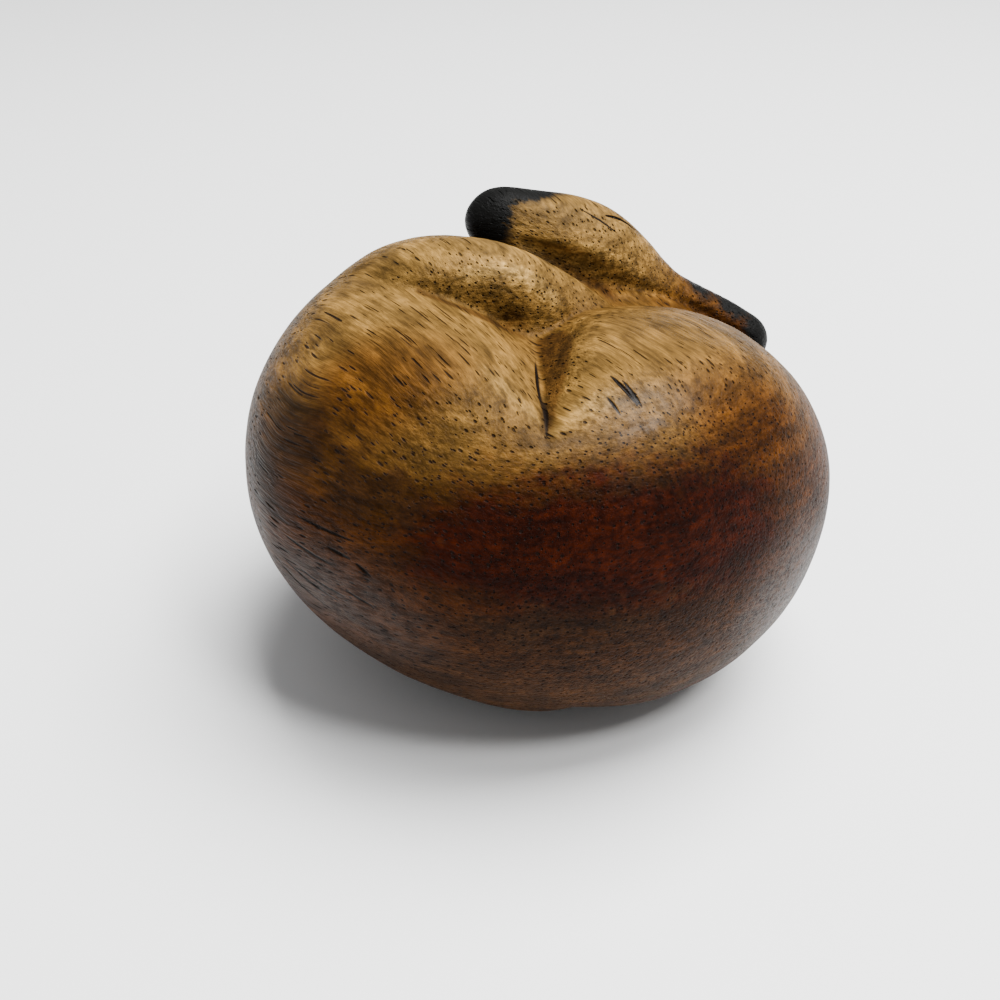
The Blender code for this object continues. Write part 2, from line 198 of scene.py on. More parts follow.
# Direction of the wood's fibres, and of its growth layers, in the figure's frame
FIBRE = (0.55, -0.83, 0.06)
LAYERS = (-0.10, 0.10, 0.99)

# Burnt parts of the ears: centre, half sizes and width of the fade
BURNT = [((-7.5, 26.5, 54.0), (5.0, 7.5, 6.0), 5.0), ((-3.5, 30.0, 57.5), (8.0, 6.0, 3.0), 4.0),
         ((34.5, 24.0, 36.0), (4.0, 9.0, 5.0), 5.0), ((30.5, 27.0, 40.6), (4.0, 4.0, 2.6), 4.5),
         ((26.5, 27.5, 43.2), (4.0, 3.5, 1.8), 4.0)]
# Painted shade in the crease, the fold and the groove of the head, and painted highlights on the lips
# beside them: rows along each strand with its half width, and width of the fade
PAINTED_SHADE_STRANDS = [[(1.4, -1.0, 47.3, 1.9), (1.9, -8.0, 48.6, 2.4), (1.4, -15.0, 49.2, 1.9), (0.8, -22.0, 49.0, 1.0),
           (0.3, -27.5, 47.8, 0.3)],
          [(-15.3, 0.5, 53.1, 0.4), (-11.4, -0.9, 51.9, 0.8), (-7.3, -1.0, 50.3, 1.3),
           (-2.5, 0.5, 48.5, 1.6), (1.6, -1.5, 47.5, 0.8)],
          [(1.3, 21.0, 50.1, 0.3), (4.8, 20.6, 48.0, 0.5), (9.1, 19.8, 45.6, 0.8), (12.4, 16.0, 45.5, 0.8)],
          [(7.2, 37.7, 49.4, 1.0), (9.3, 37.6, 48.4, 1.0)]]
PAINTED_HIGHLIGHT_STRANDS = [[(5.8, 20.5, 50.8, 0.3), (9.8, 20.4, 49.1, 0.8), (15.0, 21.5, 46.0, 0.8), (19.2, 21.6, 43.2, 0.3)],
        [(-9.5, 1.6, 54.6, 0.3), (-3.1, 3.6, 54.3, 0.8), (2.2, 4.7, 50.4, 0.9), (5.3, 1.0, 49.0, 0.3)],
        [(-6.6, -18.8, 51.4, 0.3), (-3.9, -22.6, 50.2, 0.8), (-1.2, -25.5, 48.6, 0.3)],
        [(1.1, -27.8, 47.8, 0.3), (3.9, -26.2, 49.5, 0.9), (7.3, -24.8, 50.7, 0.5)]]
PAINTED_SHADE_FADE = 2.0
PAINTED_HIGHLIGHT_FADE = 4.0
# Places that handling has polished: centre, half sizes and width of the fade
POLISHED = [((11.0, -28.0, 47.0), (9.0, 6.0, 5.0), 9.0), ((-22.0, -29.0, 24.0), (12.0, 7.0, 8.0), 9.0),
            ((30.0, -22.0, 24.0), (8.0, 8.0, 8.0), 9.0)]
# Amber parts of the golden wood
AMBER = [((-19.0, -19.0, 49.0), (11.0, 8.0, 6.0), 9.0), ((23.0, -22.0, 46.0), (9.0, 9.0, 6.0), 9.0)]
# Red-brown heart of the block, which shows across the rump
HEART = [((13.0, -36.0, 37.0), (30.0, 12.0, 8.5), 12.0)]
# Dark clouds in the wood on the left flank
CLOUDS = [((-29.0, -17.0, 42.5), (7.0, 9.0, 5.0), 8.0), ((-19.5, -28.0, 40.0), (9.0, 6.0, 4.0), 8.0),
          ((-34.0, -14.0, 35.0), (5.0, 9.0, 6.0), 8.0), ((4.0, -30.0, 27.0), (16.0, 12.0, 4.0), 10.0)]

# Colours of the growth layers from the bottom of the block to its top
WOOD_TONES = [(0.0, (0.034, 0.014, 0.0045)), (0.25, (0.025, 0.0085, 0.0020)),
              (0.45, (0.027, 0.0080, 0.0010)), (0.62, (0.040, 0.0120, 0.0010)),
              (0.78, (0.064, 0.0260, 0.0035)), (1.0, (0.145, 0.081, 0.020))]
HEART_COLOUR = (0.017, 0.0024, 0.0002)
CLOUD_COLOUR = (0.016, 0.0065, 0.0020)
PORE_COLOUR = (0.006, 0.003, 0.002)
# Painted shade in the fine cuts
CUT_SHADE_COLOUR = (0.0035, 0.0018, 0.0010)
CHAR_COLOUR = (0.0045, 0.0045, 0.0042)
# Tints that multiply the colour beneath them: painted shade, amber wood and painted highlights
PAINTED_SHADE_TINT = (0.42, 0.36, 0.30)
AMBER_TINT = (0.58, 0.44, 0.30)
PAINTED_HIGHLIGHT_TINT = (1.60, 1.70, 1.90)

# Wood: sway of the fibres, then sizes of the growth layers' drift, patches, flames, flecks, fibres and
# streaks, each across the fibres, through the layers and along the fibres
SWAY_SCALE = 0.045
SWAY = 6.0
LAYER_DRIFT_SIZE = (16.0, 12.0, 34.0)
PATCH_SIZE = (3.4, 3.0, 6.0)
FLAME_SIZE = (12.0, 1.6, 30.0)
FLECK_SIZE = (0.75, 0.75, 3.0)
FIBRE_SIZE = (0.26, 0.26, 5.0)
STREAK_SIZE = (0.8, 0.7, 14.0)
# How far the growth layers drift, and the heights of their lowest and highest colour
LAYER_DRIFT = 12.0
LAYER_HEIGHTS = (2.0, 60.0)
# Shades: each row is the pattern's low and high value, and the strength that they give
PATCH_SHADES = (0.28, 0.72, 0.58, 1.32)
FLAME_SHADES = (0.33, 0.68, 0.66, 1.24)
FLECK_SHADES = (0.30, 0.70, -0.5, 0.55)
FIBRE_SHADES = (0.28, 0.72, 0.78, 1.18)
STREAK_SHADES = (0.30, 0.60, 0.60, 1.16)
# Strength of flecks and streaks, from side grain to end grain, in rows of the same kind
FLECKS_BY_GRAIN = (0.40, 0.90, 0.45, 1.0)
STREAKS_BY_GRAIN = (0.35, 0.85, 1.0, 0.35)
# Zones: how far patches or streaks fray their edges, and rows of the same kind for each mark
HEART_FRAY = 1.1
CLOUD_FRAY = 2.2
FRAY = 0.9
HEART_EDGE = (0.12, 0.75)
CLOUD_EDGE = (0.35, 0.95, 0.0, 0.85)
# Edges of the painted highlights on the lips and of the painted shade in hollows, creases and cuts
PAINTED_HIGHLIGHT_EDGE = (0.15, 0.65)
HOLLOW_EDGE = (0.35, 1.0, 0.0, 0.50)
PAINTED_SHADE_EDGE = (0.15, 0.75)
CUT_RIM = (0.20, 0.90)
CHAR_EDGE = (0.22, 0.72)
# Pores: end-grain dots, short dashes and long lines, with the shift of their pattern, spacing, length
# and width of the vessels, share of the length that is open by the grain, darkness and depth
DOTS = dict(shift=(0.0, 0.0, 0.0), spacing=0.85, length=4.0, width=0.14,
            share=(0.30, 0.80, 0.44, 0.62), dark=0.85, deep=1.0)
DASHES = dict(shift=(31.0, 17.0, 5.0), spacing=1.3, length=6.0, width=0.12,
              share=(0.25, 0.80, 0.49, 0.44), dark=0.80, deep=0.8)
LINES = dict(shift=(7.0, 53.0, 11.0), spacing=1.15, length=16.0, width=0.115,
             share=(0.35, 0.85, 0.54, 0.32), dark=0.90, deep=0.7)
# How far the gaps of neighbouring vessels are shifted, the softness of a gap's ends, the narrowest and
# widest vessel as shares of the width, and the width of a closed one
GAP_SHIFT = 60.0
GAP_ENDS = (-0.02, 0.03)
VESSEL_WIDTHS = (0.0, 1.0, 0.55, 1.3)
CLOSED_WIDTH = 0.0001
# Darkness and depth of a pore, from its middle to beyond its edge
PORE_EDGE = (0.55, 1.15, 1.0, 0.0)
PORE_SLOPE = (0.20, 1.30, 1.0, 0.0)
# Oiled surface: roughness by the fibres, how much duller pores and the places with painted shade are, its
# gloss, the polish that handling leaves by the streaks, and the height of the relief and of the grain in it
OIL_ROUGHNESS = (0.25, 0.75, 0.50, 0.36)
DULLING = 0.25
OIL_IOR = 1.5
SPECULAR = 0.032
POLISH = 0.20
POLISH_BY_STREAKS = (0.35, 0.60, 0.3 * POLISH, POLISH)
POLISH_ROUGHNESS = 0.30
RELIEF = 0.30
GRAIN_RELIEF = 0.35

# Camera of the photo: its place in metres, how far it looks down, and lens and sensor in millimetres
CAMERA_AT = (-0.00447, -0.16638, 0.12087)
CAMERA_DOWN = 31.0
LENS = 50.0
SENSOR_WIDTH = 36.0
# Light of the photo: an even room, a large soft lamp overhead and a small weak one at the front right,
# with each lamp's direction, distance, size and power, and the height that both are aimed at
ROOM_COLOUR = (0.97, 0.98, 1.0, 1.0)
ROOM_LIGHT = 0.42
KEY_FROM = (0.30, 0.12, 0.94)
KEY_DISTANCE = 0.75
KEY_SIZE = 0.60
KEY_POWER = 25.0
SIDE_FROM = (0.41, -0.44, 0.82)
SIDE_DISTANCE = 0.8
SIDE_SIZE = 0.16
SIDE_POWER = 4.0
AIM_HEIGHT = 0.028
# Pale floor
FLOOR_COLOUR = (0.86, 0.865, 0.86, 1.0)
FLOOR_ROUGHNESS = 0.5
FLOOR_SIZE = 6.0


def turned(degrees):
    """Rotation matrix for angles about x, then y, then z."""
    a, b, c = (math.radians(value) for value in degrees)
    about_x = Matrix.Rotation(a, 3, 'X')
    about_y = Matrix.Rotation(b, 3, 'Y')
    about_z = Matrix.Rotation(c, 3, 'Z')
    return np.array(about_z @ about_y @ about_x)


def head_axes():
    """Columns: ear to ear, crown, face."""
    ears = np.array(EAR_LINE) / np.linalg.norm(EAR_LINE)
    face = np.array(FACE_LOOKS) - (np.array(FACE_LOOKS) @ ears) * ears
    face /= np.linalg.norm(face)
    return np.stack([ears, np.cross(ears, face), face], axis=1)


HEAD_AXES = head_axes()


def on_head(place):
    """A place on the head in the figure's own shares."""
    return np.array(HEAD_MIDDLE) + HEAD_AXES @ np.array(place)


def ball(points, centre, half_sizes, axes=None):
    """Distance from an ellipsoid, negative inside."""
    local = points - (np.array(centre) - MIDDLE) * SHARE
    if axes is not None:
        local = local @ axes
    radii = np.array(half_sizes) * SHARE
    reach = np.sqrt(((local / radii) ** 2).sum(-1))
    slope = np.sqrt(((local / radii ** 2) ** 2).sum(-1))
    return reach * (reach - 1.0) / np.maximum(slope, 1e-6)


def join(first, second, blend):
    """Both forms together, with a fillet of the given size between them."""
    width = blend * SHARE
    mix = np.clip(0.5 + 0.5 * (second - first) / width, 0.0, 1.0)
    return second * (1.0 - mix) + first * mix - width * mix * (1.0 - mix)


def trim(form, limit, blend):
    """The form kept inside the limit, with a rounded edge."""
    return -join(-form, -limit, blend)


def smooth_path(rows, steps):
    """Points and radii on a smooth curve through the rows."""
    knots = np.array(rows)
    knots = np.vstack([2 * knots[0] - knots[1], knots, 2 * knots[-1] - knots[-2]])
    path = []
    for i in range(1, len(knots) - 2):
        before, start, end, after = knots[i - 1:i + 3]
        for t in np.linspace(0.0, 1.0, steps, endpoint=False):
            curve = 2 * start + (end - before) * t
            curve = curve + (2 * before - 5 * start + 4 * end - after) * t ** 2
            curve = curve + (3 * start - before - 3 * end + after) * t ** 3
            path.append(0.5 * curve)
    path.append(knots[-2])
    return np.array(path)


def limb(points, rows, steps=6):
    """Distance from a tapered limb along a smooth path, exact near it and a lower bound far off."""
    path = smooth_path(rows, steps)
    path[:, :3] -= MIDDLE
    path *= SHARE
    centre = path[:, :3].mean(0)
    reach = (np.linalg.norm(path[:, :3] - centre, axis=1) + path[:, 3]).max()
    nearest = np.linalg.norm(points - centre, axis=1) - reach
    near = np.flatnonzero(nearest < FAR * SHARE)
    close = points[near]
    distances = np.full(len(close), 1.0)
    for start, end in zip(path[:-1], path[1:]):
        run = end[:3] - start[:3]
        t = np.clip(((close - start[:3]) @ run) / (run @ run), 0.0, 1.0)
        distance = np.linalg.norm(close - start[:3] - t[:, None] * run, axis=1)
        distances = np.minimum(distances, distance - (start[3] + t * (end[3] - start[3])))
    nearest[near] = distances
    return nearest


def gouge(points, ridge, cut):
    """A round gouge beside a ridge line, on the side that the cut faces."""
    rows = [tuple(np.array(row[:3]) + np.array(cut) * row[3]) + (row[3],) for row in ridge]
    return limb(points, rows, steps=4)


def block(points):
    """The ball that the figure is carved from."""
    return join(ball(points, *BLOCK_LEFT), ball(points, *BLOCK_RIGHT), BLOCK_BLEND)


def carved_body(points):
    """Back, haunch, shoulder and belly, trimmed to the block."""
    back = ball(points, BACK[0], BACK[1], turned(BACK[2]))
    haunch = ball(points, HAUNCH[0], HAUNCH[1], turned(HAUNCH[2]))
    haunch = join(haunch, limb(points, HAUNCH_LOBE), LOBE_BLEND)
    haunch = trim(haunch, -gouge(points, HAUNCH_WALL, HAUNCH_WALL_CUT), WALL_EDGE)
    shoulder = limb(points, SHOULDER, steps=8)
    shoulder = trim(shoulder, -gouge(points, SHOULDER_RIDGE, SHOULDER_CUT), WALL_EDGE)
    shoulder = trim(shoulder, -gouge(points, SHOULDER_WALL, SHOULDER_WALL_CUT), WALL_EDGE)
    body = join(join(back, shoulder, FOLD_BLEND), haunch, CREASE_BLEND)
    body = join(body, ball(points, *RUMP), RUMP_BLEND)
    body = join(body, ball(points, *BASE), BASE_BLEND)
    body = trim(body, block(points), BLOCK_EDGE)
    belly = join(ball(points, *BELLY), ball(points, CHEST[0], CHEST[1], turned(CHEST[2])), CHEST_BLEND)
    return join(body, trim(belly, block(points), BELLY_EDGE), BELLY_BLEND)


def carved_head(points):
    """Skull, ears, muzzle and nose, with the hollow under the head's lower edge."""
    skull = ball(points, HEAD_MIDDLE, HEAD_SIZE, HEAD_AXES)
    right_ear = join(limb(points, RIGHT_EAR), limb(points, RIGHT_EAR_EDGE), EAR_BLEND)
    left_ear = join(limb(points, LEFT_EAR), limb(points, LEFT_EAR_EDGE), EAR_BLEND)
    head = join(join(skull, right_ear, RIGHT_EAR_ROOT), left_ear, LEFT_EAR_ROOT)
    snout = join(ball(points, on_head(MUZZLE[0]), MUZZLE[1], HEAD_AXES),
                 ball(points, on_head(NOSE[0]), NOSE[1], HEAD_AXES), NOSE_BLEND)
    head = join(head, snout, MUZZLE_BLEND)
    return trim(head, -gouge(points, HEAD_RIDGE, HEAD_CUT), HEAD_EDGE)


def carved(points):
    """Distance from the carved surface, negative in the wood."""
    figure = join(carved_body(points), carved_head(points), NECK_BLEND)
    figure = join(figure, limb(points, FORELEG), LIMB_BLEND)
    return join(figure, limb(points, TAIL), LIMB_BLEND)


def fibre_axes():
    """Columns: across the fibres, across the growth layers, along the fibres."""
    along = np.array(FIBRE) / np.linalg.norm(FIBRE)
    layers = np.array(LAYERS) - (np.array(LAYERS) @ along) * along
    layers /= np.linalg.norm(layers)
    return np.stack([np.cross(layers, along), layers, along], axis=1)


def laid(places, radii):
    """Rows of the places, moved onto the carved surface, with their radii."""
    points = (places - MIDDLE) * SHARE
    for _ in range(LAYING_ROUNDS):
        value, slope = value_and_slope(carved, points)
        points -= value[:, None] * slope / np.maximum((slope ** 2).sum(1), LEAST_SQUARED_SLOPE)[:, None]
    return np.column_stack([points / SHARE + MIDDLE, radii])


def face_path(rows):
    """Rows of a cut on the head, laid on the carved surface."""
    return laid(np.array([on_head(row[:3]) for row in rows]), [row[3] for row in rows])


def crack_path(start, end, half_width):
    """Rows along a straight crack, laid on the carved surface and widest in the middle."""
    along = np.linspace(0.0, 1.0, CRACK_POINTS)[:, None]
    radii = half_width * np.sin(math.pi * (CRACK_TIP + (1.0 - 2.0 * CRACK_TIP) * along[:, 0]))
    return laid(np.array(start) * (1.0 - along) + np.array(end) * along, radii)


def value_and_slope(form, points):
    """A form's distance at the points, and its gradient."""
    step = SLOPE_STEP * SHARE
    value = form(points)
    slope = [(form(points + axis) - value) / step for axis in np.eye(3) * step]
    return value, np.stack(slope, axis=1)


CRACK_PATHS = [crack_path(*crack) for crack in CRACKS]
FACE_PATHS = [face_path(rows) for rows in (CROWN_SLIT, RIGHT_EYE, LEFT_EYE, NOSE_LINE, MOUTH)]


def cuts(points):
    """Distance from the fine cuts: cracks, knife line and the lines of the face."""
    nearest = limb(points, KNIFE_LINE, steps=4)
    for path in CRACK_PATHS:
        nearest = np.minimum(nearest, limb(points, path, steps=2))
    for path in FACE_PATHS:
        nearest = np.minimum(nearest, limb(points, path, steps=4))
    return nearest


def detailed(points):
    """The carved surface with its fine cuts and the flat underside."""
    form = trim(carved(points), -cuts(points), CUT_EDGE)
    return trim(form, -points[:, 2], UNDERSIDE_EDGE)


class Weave:
    """The mesh's edges, for averages over each vertex's neighbours."""

    def __init__(self, mesh):
        self.count = len(mesh.vertices)
        ends = np.empty(len(mesh.edges) * 2, dtype=np.int64)
        mesh.edges.foreach_get("vertices", ends)
        self.first, self.second = ends.reshape(-1, 2).T
        self.degree = np.bincount(self.first, minlength=self.count)
        self.degree += np.bincount(self.second, minlength=self.count)

    def mean(self, values):
        """Mean of the neighbours' values, column by column."""
        total = np.empty_like(values)
        for column in range(values.shape[1]):
            total[:, column] = np.bincount(self.first, values[self.second, column], self.count)
            total[:, column] += np.bincount(self.second, values[self.first, column], self.count)
        return total / self.degree[:, None]


def read_places(mesh):
    """The vertices' places, a row each."""
    places = np.empty(len(mesh.vertices) * 3)
    mesh.vertices.foreach_get("co", places)
    return places.reshape(-1, 3)


def read_normals(mesh):
    """The vertices' normals, a row each."""
    normals = np.empty(len(mesh.vertices) * 3)
    mesh.vertex_normals.foreach_get("vector", normals)
    return normals.reshape(-1, 3)


def settle(mesh, moving, softening, rounds):
    """Softens the moving vertices and settles them, evenly spaced, onto the detailed surface."""
    places = read_places(mesh)
    weave = Weave(mesh)
    for _ in range(softening):
        places[moving] += SOFTENING_PULL * (weave.mean(places) - places)[moving]
    for turn in range(rounds):
        value, slope = value_and_slope(detailed, places[moving])
        square = np.maximum((slope ** 2).sum(1), LEAST_SQUARED_SLOPE)
        places[moving] -= (value / square)[:, None] * slope
        if turn < rounds - LAST_ROUNDS:
            drift = (weave.mean(places) - places)[moving]
            normal = slope / np.sqrt(square)[:, None]
            drift -= (drift * normal).sum(1)[:, None] * normal
            places[moving] += EVENING * drift
    mesh.vertices.foreach_set("co", places.ravel())
    mesh.update()


def sharp_places(mesh, weave, turn):
    """True at vertices in sharp folds and near the fine cuts."""
    normals = read_normals(mesh)
    folded = np.linalg.norm(weave.mean(normals) - normals, axis=1) > FOLDED * (turn + 1)
    near_cut = cuts(read_places(mesh)) < NEAR_CUT / (turn + 1) * SHARE
    chosen = (folded | near_cut).astype(float)[:, None]
    return (weave.mean(chosen)[:, 0] > 0.0) | (chosen[:, 0] > 0.0)


def halved(mesh, chosen):
    """Halves the edges between chosen vertices."""
    shape = bmesh.new()
    shape.from_mesh(mesh)
    edges = [edge for edge in shape.edges
             if chosen[edge.verts[0].index] and chosen[edge.verts[1].index]]
    bmesh.ops.subdivide_edges(shape, edges=edges, cuts=1, use_grid_fill=True)
    shape.to_mesh(mesh)
    shape.free()


def hand_carved(mesh):
    """Slight unevenness that a knife and sandpaper leave, kept off the flat underside."""
    places = read_places(mesh)
    swell = np.array([noise.noise(Vector(place) / (SWELL_SIZE * SHARE)) for place in places])
    ripple = np.array([noise.noise(Vector(place) / (RIPPLE_SIZE * SHARE)) for place in places])
    lift = np.clip(places[:, 2] / (CARVED_FROM * SHARE), 0.0, 1.0)
    amount = (SWELL * swell + RIPPLE * ripple - WEAR) * lift
    places += amount[:, None] * SHARE * read_normals(mesh)
    mesh.vertices.foreach_set("co", places.ravel())
    mesh.update()


def mark(mesh, name, values):
    """Stores a value for each vertex, for the material to read."""
    layer = mesh.attributes.new(name, 'FLOAT', 'POINT')
    layer.data.foreach_set("value", np.ascontiguousarray(values, dtype=np.float32))


def glow(points, zones):
    """One inside the soft balls, fading to nought outside them."""
    strongest = np.zeros(len(points))
    for centre, half_sizes, fade in zones:
        strongest = np.maximum(strongest, 0.5 - ball(points, centre, half_sizes) / (fade * SHARE))
    return np.clip(strongest, 0.0, 1.0)


def strands(points, paths, fade):
    """One along the paths, fading to nought beside them."""
    nearest = np.min([limb(points, rows, steps=4) for rows in paths], axis=0)
    return np.clip(0.5 - nearest / (fade * SHARE), 0.0, 1.0)


def closeness(places, normals, distance):
    """How much wood stands within a distance in front of the surface, from nought to one."""
    reach = distance * SHARE
    return np.clip(1.0 - carved(places + normals * reach) / reach, 0.0, 1.0)


def fine_mesh():
    """The fine mesh of the figure, with marks for painted shade in hollows, creases and cuts, painted
    highlights on the lips, polish, burning and colour zones.
    """
    rough = bpy.data.objects.new("rough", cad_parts[NODE].data.copy())
    bpy.context.scene.collection.objects.link(rough)
    remesh = rough.modifiers.new("fine", 'REMESH')
    remesh.mode = 'VOXEL'
    remesh.voxel_size = FINE_VOXEL
    mesh = bpy.data.meshes.new_from_object(rough.evaluated_get(bpy.context.evaluated_depsgraph_get()))
    bpy.data.objects.remove(rough)
    settle(mesh, np.arange(len(mesh.vertices)), SOFTENING, ROUNDS)
    for turn in range(HALVINGS):
        chosen = sharp_places(mesh, Weave(mesh), turn)
        before = len(mesh.vertices)
        halved(mesh, chosen)
        moving = np.concatenate([np.flatnonzero(chosen), np.arange(before, len(mesh.vertices))])
        settle(mesh, moving, 1, ROUNDS)
    places, normals = read_places(mesh), read_normals(mesh)
    # Painted shade: darker where wood stands close in front of the surface
    broad = closeness(places, normals, BROAD_REACH)
    hollow = np.maximum(BROAD_STRENGTH * broad, closeness(places, normals, CLOSE_REACH))
    mark(mesh, "hollow", Weave(mesh).mean(hollow[:, None])[:, 0])
    # Painted shade beside the fine cuts
    mark(mesh, "cut", np.clip(1.0 - cuts(places) / (CUT_SHADE_REACH * SHARE), 0.0, 1.0))
    # Painted shade along the crease, the fold and the groove of the head
    mark(mesh, "painted_shade", strands(places, PAINTED_SHADE_STRANDS, PAINTED_SHADE_FADE))
    # Painted highlights along the lips
    mark(mesh, "painted_highlight", strands(places, PAINTED_HIGHLIGHT_STRANDS, PAINTED_HIGHLIGHT_FADE))
    mark(mesh, "polish", glow(places, POLISHED))
    mark(mesh, "amber", glow(places, AMBER))
    mark(mesh, "burn", glow(places, BURNT))
    mark(mesh, "heart", glow(places, HEART))
    mark(mesh, "cloud", glow(places, CLOUDS))
    hand_carved(mesh)
    mesh.shade_smooth()
    return mesh


class Shader:
    """Adds nodes to a tree and links them in one call each."""

    def __init__(self, tree):
        self.tree = tree

    def add(self, kind, inputs=None, **settings):
        """A node with the given settings, and with sockets or constants on its inputs."""
        node = self.tree.nodes.new(kind)
        for name, value in settings.items():
            setattr(node, name, value)
        for key, value in (inputs or {}).items():
            self.feed(node.inputs[key], value)
        return node

    def feed(self, socket, value):
        """Links a socket to the input, or sets a constant on it."""
        if isinstance(value, bpy.types.NodeSocket):
            self.tree.links.new(value, socket)
        else:
            socket.default_value = value

    def math(self, operation, *values):
        """Arithmetic on numbers."""
        return self.add("ShaderNodeMath", dict(enumerate(values)), operation=operation).outputs[0]

    def vector(self, operation, *values):
        """Arithmetic on vectors, whose dot product is a number."""
        node = self.add("ShaderNodeVectorMath", dict(enumerate(values)), operation=operation)
        return node.outputs["Value" if operation == 'DOT_PRODUCT' else "Vector"]

    def scaled(self, vector, factor):
        """The vector or colour times a number."""
        node = self.add("ShaderNodeVectorMath", {0: vector, "Scale": factor}, operation='SCALE')
        return node.outputs["Vector"]

    def ramp(self, value, low, high, start=0.0, end=1.0):
        """Goes softly from start to end while the value goes from low to high."""
        node = self.add("ShaderNodeMapRange", {0: value, 1: low, 2: high, 3: start, 4: end},
                        interpolation_type='SMOOTHSTEP')
        return node.outputs[0]

    def swing(self, value, height):
        """A value around a half, turned into one around nought."""
        return self.math('MULTIPLY', self.math('SUBTRACT', value, 0.5), height)

    def noise(self, vector, detail, roughness=0.5):
        """Soft noise around a half."""
        node = self.add("ShaderNodeTexNoise", {"Vector": vector, "Scale": 1.0, "Detail": detail,
                                               "Roughness": roughness})
        return node.outputs[0]

    def pattern(self, space, size, detail, roughness):
        """Noise in the wood, with features of the given size."""
        return self.noise(self.vector('DIVIDE', space, size), detail, roughness)

    def blend(self, factor, first, second):
        """The first colour mixed towards the second, which may be three numbers."""
        if isinstance(second, tuple):
            second += (1.0,)
        node = self.add("ShaderNodeMix", {0: factor, 6: first, 7: second}, data_type='RGBA')
        return node.outputs[2]

    def tinted(self, factor, colour, tint):
        """The colour multiplied by a tint where the factor is one."""
        return self.blend(factor, colour, self.vector('MULTIPLY', colour, tint))

    def mark(self, name):
        """A value stored on the mesh's vertices."""
        return self.add("ShaderNodeAttribute", attribute_name=name).outputs["Fac"]

    def colours(self, value, stops):
        """A colour ramp with stops of (position, colour)."""
        node = self.add("ShaderNodeValToRGB", {0: value})
        ramp = node.color_ramp
        while len(ramp.elements) < len(stops):
            ramp.elements.new(0.5)
        for element, (position, colour) in zip(ramp.elements, stops):
            element.position = position
            element.color = colour + (1.0,)
        return node.outputs[0]

    def group(self, group, **inputs):
        """Places a node group and returns its outputs."""
        node = self.add("ShaderNodeGroup", node_tree=group)
        for name, value in inputs.items():
            self.feed(node.inputs[name], value)
        return node.outputs


def new_group(name, inputs, outputs):
    """An empty node group with named sockets: inputs of (name, kind, default), outputs of (name, kind)."""
    group = bpy.data.node_groups.new(name, 'ShaderNodeTree')
    for label, kind, default in inputs:
        socket = group.interface.new_socket(label, in_out='INPUT', socket_type=kind)
        socket.default_value = default
    for label, kind in outputs:
        group.interface.new_socket(label, in_out='OUTPUT', socket_type=kind)
    shader = Shader(group)
    return group, shader, shader.add("NodeGroupInput"), shader.add("NodeGroupOutput")


def wood_space_group():
    """Shares across the fibres, through the growth layers and along the fibres, which sway a little.
    End grain is one where the surface cuts the fibres squarely and nought along them."""
    group, s, _, out = new_group("wood space", [], [("Space", 'NodeSocketVector'),
                                                    ("End Grain", 'NodeSocketFloat')])
    place = s.add("ShaderNodeTexCoord").outputs["Object"]
    shares = s.scaled(place, 1.0 / SHARE)
    wander = s.add("ShaderNodeTexNoise", {"Vector": s.scaled(shares, SWAY_SCALE), "Scale": 1.0,
                                          "Detail": 1.0}).outputs["Color"]
    bent = s.vector('ADD', shares, s.scaled(s.vector('SUBTRACT', wander, (0.5,) * 3), SWAY))
    axes = fibre_axes()
    parts = [s.vector('DOT_PRODUCT', bent, tuple(axes[:, i])) for i in range(3)]
    space = s.add("ShaderNodeCombineXYZ", dict(enumerate(parts)))
    s.feed(out.inputs["Space"], space.outputs[0])
    normal = s.add("ShaderNodeNewGeometry").outputs["Normal"]
    s.feed(out.inputs["End Grain"], s.math('ABSOLUTE', s.vector('DOT_PRODUCT', normal, tuple(axes[:, 2]))))
    return group


def vessels_group():
    """Open pores: vessels along the fibres with gaps, seen as dashes along the grain and as dots
    across it."""
    group, s, given, out = new_group(
        "open pores",
        [("Space", 'NodeSocketVector', (0, 0, 0)), ("Spacing", 'NodeSocketFloat', 1.0),
         ("Length", 'NodeSocketFloat', 10.0), ("Width", 'NodeSocketFloat', 0.2),
         ("Share", 'NodeSocketFloat', 0.5)],
        [("Pore", 'NodeSocketFloat'), ("Depth", 'NodeSocketFloat')])
    given = given.outputs
    stretch = s.add("ShaderNodeCombineXYZ", {0: given["Spacing"], 1: given["Spacing"],
                                             2: given["Length"]}).outputs[0]
    cell = s.vector('DIVIDE', given["Space"], stretch)
    vessels = s.add("ShaderNodeTexVoronoi", {"Vector": cell, "Scale": 1.0, "Randomness": 1.0},
                    voronoi_dimensions='2D').outputs
    chance = s.add("ShaderNodeSeparateColor", {0: vessels["Color"]}).outputs
    gaps = s.noise(s.vector('ADD', cell, s.scaled(vessels["Color"], GAP_SHIFT)), 1.0)
    there = s.ramp(s.math('SUBTRACT', given["Share"], gaps), *GAP_ENDS)
    width = s.math('MULTIPLY', given["Width"], s.ramp(chance[0], *VESSEL_WIDTHS))
    open_width = s.math('MAXIMUM', s.math('MULTIPLY', width, there), CLOSED_WIDTH)
    edge = s.math('DIVIDE', vessels["Distance"], open_width)
    s.feed(out.inputs["Pore"], s.ramp(edge, *PORE_EDGE))
    s.feed(out.inputs["Depth"], s.ramp(edge, *PORE_SLOPE))
    return group


